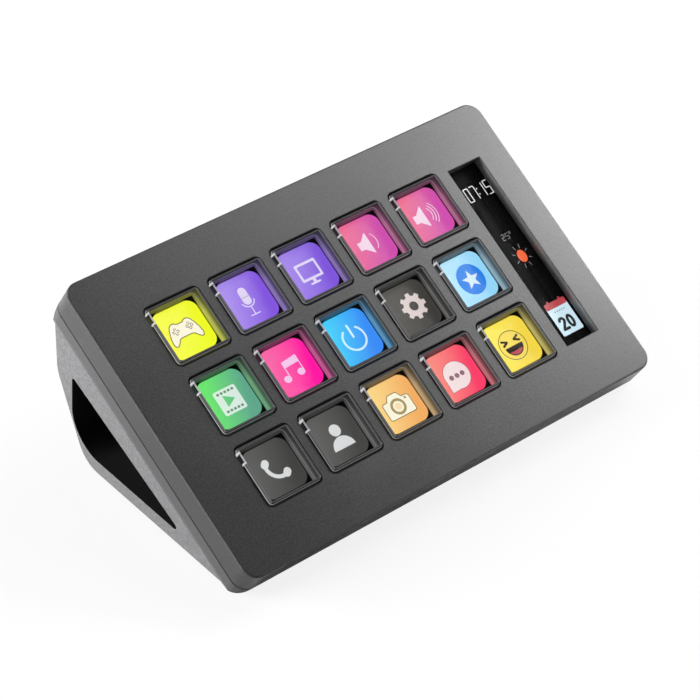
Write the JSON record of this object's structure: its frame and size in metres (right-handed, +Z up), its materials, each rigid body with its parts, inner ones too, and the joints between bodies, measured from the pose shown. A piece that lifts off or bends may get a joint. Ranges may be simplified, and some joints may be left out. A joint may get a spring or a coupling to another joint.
{
  "type": "macro keypad with side display",
  "caption": "Wedge-shaped desk keypad: clear keys in rows over a lit display, a narrow display strip beside them, and a stand with a tunnel through it.",
  "frame": {"origin": "on the desk, under the middle of the whole keypad", "axes": "+X to the user's right, +Y away from the user, +Z up; the face tilts 30 degrees up towards +Y"},
  "size_m": [0.13, 0.0748, 0.0502],
  "materials": {
    "cover_plastic": "fine satin texture, dark grey",
    "housing_plastic": "fine satin texture, dark grey, near black inside the tunnel",
    "clear_acrylic": "clear, polished",
    "black_silicone": "matte",
    "contact_film": "satin",
    "display_black": "polished black glass",
    "display_tray": "pressed tray",
    "flex_film": "amber film",
    "sheet_steel": "zinc plated",
    "brass": "turned",
    "circuit_board": "solder mask",
    "screw_steel": "black oxide",
    "chip_black": "moulded",
    "connector_white": "moulded",
    "socket_steel": "drawn shell",
    "foot_rubber": "matte"
  },
  "bodies": {
    "housing": {"front_cover": "cover_plastic", "strip_window": "clear_acrylic", "silicone_membrane": "black_silicone", "contact_sheet": "contact_film", "lcd_glass": "display_black", "lcd_backlight": "display_tray", "display_flex": "flex_film", "display_carrier": "sheet_steel", "board_standoffs": "brass", "main_board": "circuit_board", "board_screws": "screw_steel", "processor": "chip_black", "memory_chip": "chip_black", "voltage_regulator": "chip_black", "inductor": "chip_black", "display_connector": "connector_white", "key_connector": "connector_white", "jumper_socket": "connector_white", "rear_housing": "housing_plastic", "usb_board": "circuit_board", "usb_socket": "socket_steel", "usb_board_screws": "screw_steel", "usb_jumper": "flex_film", "housing_screws": "screw_steel", "front_feet": "foot_rubber", "rear_feet": "foot_rubber"},
    "key_r1c1": {"key_cap_r1c1": "clear_acrylic"},
    "key_r1c2": {"key_cap_r1c2": "clear_acrylic"},
    "key_r1c3": {"key_cap_r1c3": "clear_acrylic"},
    "key_r1c4": {"key_cap_r1c4": "clear_acrylic"},
    "key_r1c5": {"key_cap_r1c5": "clear_acrylic"},
    "key_r2c1": {"key_cap_r2c1": "clear_acrylic"},
    "key_r2c2": {"key_cap_r2c2": "clear_acrylic"},
    "key_r2c3": {"key_cap_r2c3": "clear_acrylic"},
    "key_r2c4": {"key_cap_r2c4": "clear_acrylic"},
    "key_r2c5": {"key_cap_r2c5": "clear_acrylic"},
    "key_r3c1": {"key_cap_r3c1": "clear_acrylic"},
    "key_r3c2": {"key_cap_r3c2": "clear_acrylic"},
    "key_r3c3": {"key_cap_r3c3": "clear_acrylic"},
    "key_r3c4": {"key_cap_r3c4": "clear_acrylic"},
    "key_r3c5": {"key_cap_r3c5": "clear_acrylic"}
  },
  "joints": [
    {"name": "press_r1c1", "type": "slide", "parent": "housing", "child": "key_r1c1", "axis": [0, 0.5, -0.866], "range_m": [0, 0.0005], "stiffness_N_per_m": 600, "springref_m": -0.0005, "deforming": ["silicone_membrane"]},
    {"name": "press_r1c2", "type": "slide", "parent": "housing", "child": "key_r1c2", "axis": [0, 0.5, -0.866], "range_m": [0, 0.0005], "stiffness_N_per_m": 600, "springref_m": -0.0005, "deforming": ["silicone_membrane"]},
    {"name": "press_r1c3", "type": "slide", "parent": "housing", "child": "key_r1c3", "axis": [0, 0.5, -0.866], "range_m": [0, 0.0005], "stiffness_N_per_m": 600, "springref_m": -0.0005, "deforming": ["silicone_membrane"]},
    {"name": "press_r1c4", "type": "slide", "parent": "housing", "child": "key_r1c4", "axis": [0, 0.5, -0.866], "range_m": [0, 0.0005], "stiffness_N_per_m": 600, "springref_m": -0.0005, "deforming": ["silicone_membrane"]},
    {"name": "press_r1c5", "type": "slide", "parent": "housing", "child": "key_r1c5", "axis": [0, 0.5, -0.866], "range_m": [0, 0.0005], "stiffness_N_per_m": 600, "springref_m": -0.0005, "deforming": ["silicone_membrane"]},
    {"name": "press_r2c1", "type": "slide", "parent": "housing", "child": "key_r2c1", "axis": [0, 0.5, -0.866], "range_m": [0, 0.0005], "stiffness_N_per_m": 600, "springref_m": -0.0005, "deforming": ["silicone_membrane"]},
    {"name": "press_r2c2", "type": "slide", "parent": "housing", "child": "key_r2c2", "axis": [0, 0.5, -0.866], "range_m": [0, 0.0005], "stiffness_N_per_m": 600, "springref_m": -0.0005, "deforming": ["silicone_membrane"]},
    {"name": "press_r2c3", "type": "slide", "parent": "housing", "child": "key_r2c3", "axis": [0, 0.5, -0.866], "range_m": [0, 0.0005], "stiffness_N_per_m": 600, "springref_m": -0.0005, "deforming": ["silicone_membrane"]},
    {"name": "press_r2c4", "type": "slide", "parent": "housing", "child": "key_r2c4", "axis": [0, 0.5, -0.866], "range_m": [0, 0.0005], "stiffness_N_per_m": 600, "springref_m": -0.0005, "deforming": ["silicone_membrane"]},
    {"name": "press_r2c5", "type": "slide", "parent": "housing", "child": "key_r2c5", "axis": [0, 0.5, -0.866], "range_m": [0, 0.0005], "stiffness_N_per_m": 600, "springref_m": -0.0005, "deforming": ["silicone_membrane"]},
    {"name": "press_r3c1", "type": "slide", "parent": "housing", "child": "key_r3c1", "axis": [0, 0.5, -0.866], "range_m": [0, 0.0005], "stiffness_N_per_m": 600, "springref_m": -0.0005, "deforming": ["silicone_membrane"]},
    {"name": "press_r3c2", "type": "slide", "parent": "housing", "child": "key_r3c2", "axis": [0, 0.5, -0.866], "range_m": [0, 0.0005], "stiffness_N_per_m": 600, "springref_m": -0.0005, "deforming": ["silicone_membrane"]},
    {"name": "press_r3c3", "type": "slide", "parent": "housing", "child": "key_r3c3", "axis": [0, 0.5, -0.866], "range_m": [0, 0.0005], "stiffness_N_per_m": 600, "springref_m": -0.0005, "deforming": ["silicone_membrane"]},
    {"name": "press_r3c4", "type": "slide", "parent": "housing", "child": "key_r3c4", "axis": [0, 0.5, -0.866], "range_m": [0, 0.0005], "stiffness_N_per_m": 600, "springref_m": -0.0005, "deforming": ["silicone_membrane"]},
    {"name": "press_r3c5", "type": "slide", "parent": "housing", "child": "key_r3c5", "axis": [0, 0.5, -0.866], "range_m": [0, 0.0005], "stiffness_N_per_m": 600, "springref_m": -0.0005, "deforming": ["silicone_membrane"]}
  ]
}
